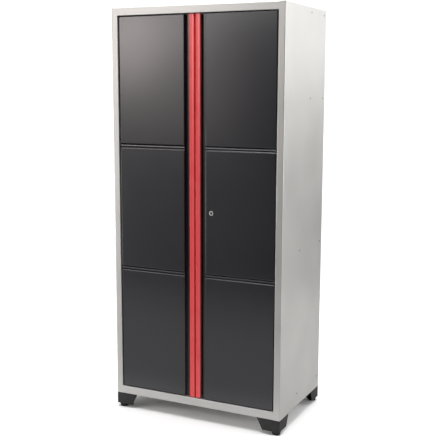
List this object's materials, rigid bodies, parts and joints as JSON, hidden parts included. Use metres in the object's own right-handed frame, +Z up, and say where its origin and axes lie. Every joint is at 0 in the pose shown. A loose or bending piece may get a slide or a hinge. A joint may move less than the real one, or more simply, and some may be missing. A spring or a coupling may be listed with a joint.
{
  "type": "tool cabinet",
  "caption": "Tall free-standing steel tool cabinet with two panelled swing doors, full-height pull strips, a keyed lock with locking bars, shelves and levelling feet.",
  "frame": {"origin": "on the floor under the middle of the cabinet's footprint", "axes": "+Z up, doors face -Y, +X to the right as seen from the front"},
  "size_m": [0.916, 0.5588, 2.039],
  "materials": {
    "silver_coat": "light silver-grey powder coat, fine satin",
    "charcoal_coat": "charcoal powder coat, satin",
    "red_coat": "red powder coat on an extruded strip, satin",
    "black_texture": "black textured powder coat",
    "pad_plastic": "black moulded plastic",
    "zinc_plate": "bright zinc plate",
    "lock_nickel": "satin nickel plate",
    "nylon": "natural nylon",
    "magnet": "dark ferrite"
  },
  "bodies": {
    "cabinet": {"left_side": "silver_coat", "right_side": "silver_coat", "top_panel": "silver_coat", "floor_panel": "silver_coat", "back_panel": "silver_coat", "back_screws": "zinc_plate", "upper_fixed_shelf": "silver_coat", "middle_fixed_shelf": "silver_coat", "upper_shelf_strips": "zinc_plate", "lower_shelf_strips": "zinc_plate", "upper_shelf_clips": "zinc_plate", "lower_shelf_clips": "zinc_plate", "upper_adjustable_shelf": "silver_coat", "lower_adjustable_shelf": "silver_coat", "side_rivets": "silver_coat", "front_left_leg": "black_texture", "front_right_leg": "black_texture", "rear_left_leg": "black_texture", "rear_right_leg": "black_texture", "leg_bolts": "zinc_plate", "pivot_pins": "zinc_plate", "magnetic_catches": "pad_plastic", "catch_magnets": "magnet"},
    "left_door": {"left_door_pan": "charcoal_coat", "left_lower_panel": "charcoal_coat", "left_middle_panel": "charcoal_coat", "left_upper_panel": "charcoal_coat", "left_pull": "red_coat", "left_pull_screws": "zinc_plate", "left_pivot_bushes": "nylon", "left_strike": "zinc_plate", "hand_bolt_guides": "nylon"},
    "right_door": {"right_door_pan": "charcoal_coat", "right_lower_panel": "charcoal_coat", "right_middle_panel": "charcoal_coat", "right_upper_panel": "charcoal_coat", "right_pull": "red_coat", "right_pull_screws": "zinc_plate", "right_pivot_bushes": "nylon", "right_strike": "zinc_plate", "lock_barrel": "lock_nickel", "lock_nut": "zinc_plate", "lock_bar_guides": "nylon"},
    "lock": {"lock_plug": "lock_nickel", "lock_cam": "zinc_plate"},
    "upper_bar": {"upper_lock_bar": "zinc_plate"},
    "lower_bar": {"lower_lock_bar": "zinc_plate"},
    "top_bolt": {"top_hand_bolt": "zinc_plate"},
    "bottom_bolt": {"bottom_hand_bolt": "zinc_plate"},
    "front_left_foot": {"front_left_pad": "pad_plastic", "front_left_stem": "zinc_plate"},
    "front_right_foot": {"front_right_pad": "pad_plastic", "front_right_stem": "zinc_plate"},
    "rear_left_foot": {"rear_left_pad": "pad_plastic", "rear_left_stem": "zinc_plate"},
    "rear_right_foot": {"rear_right_pad": "pad_plastic", "rear_right_stem": "zinc_plate"}
  },
  "joints": [
    {"name": "left_door_swing", "type": "hinge", "parent": "cabinet", "child": "left_door", "pos_m": [-0.4026, -0.2644, 1.06], "axis": [0, 0, -1], "range_deg": [0, 110]},
    {"name": "right_door_swing", "type": "hinge", "parent": "cabinet", "child": "right_door", "pos_m": [0.4026, -0.2644, 1.06], "axis": [0, 0, 1], "range_deg": [0, 110]},
    {"name": "lock_turn", "type": "hinge", "parent": "right_door", "child": "lock", "pos_m": [0.089, -0.2764, 1.06], "axis": [0, -1, 0], "range_deg": [0, 90]},
    {"name": "upper_bar_slide", "type": "slide", "parent": "right_door", "child": "upper_bar", "axis": [0, 0, 1], "range_m": [0, 0.01414]},
    {"name": "lower_bar_slide", "type": "slide", "parent": "right_door", "child": "lower_bar", "axis": [0, 0, -1], "range_m": [0, 0.0142]},
    {"name": "top_bolt_slide", "type": "slide", "parent": "left_door", "child": "top_bolt", "axis": [0, 0, 1], "range_m": [0, 0.014]},
    {"name": "bottom_bolt_slide", "type": "slide", "parent": "left_door", "child": "bottom_bolt", "axis": [0, 0, -1], "range_m": [0, 0.014]},
    {"name": "front_left_foot_screw", "type": "slide", "parent": "cabinet", "child": "front_left_foot", "axis": [0, 0, 1], "range_m": [-0.025, 0]},
    {"name": "front_right_foot_screw", "type": "slide", "parent": "cabinet", "child": "front_right_foot", "axis": [0, 0, 1], "range_m": [-0.025, 0]},
    {"name": "rear_left_foot_screw", "type": "slide", "parent": "cabinet", "child": "rear_left_foot", "axis": [0, 0, 1], "range_m": [-0.025, 0]},
    {"name": "rear_right_foot_screw", "type": "slide", "parent": "cabinet", "child": "rear_right_foot", "axis": [0, 0, 1], "range_m": [-0.025, 0]}
  ],
  "couplings": [
    {"joint": "lock_turn", "follows": "upper_bar_slide", "rad_per_m": 111},
    {"joint": "lower_bar_slide", "follows": "upper_bar_slide", "ratio": 1}
  ]
}
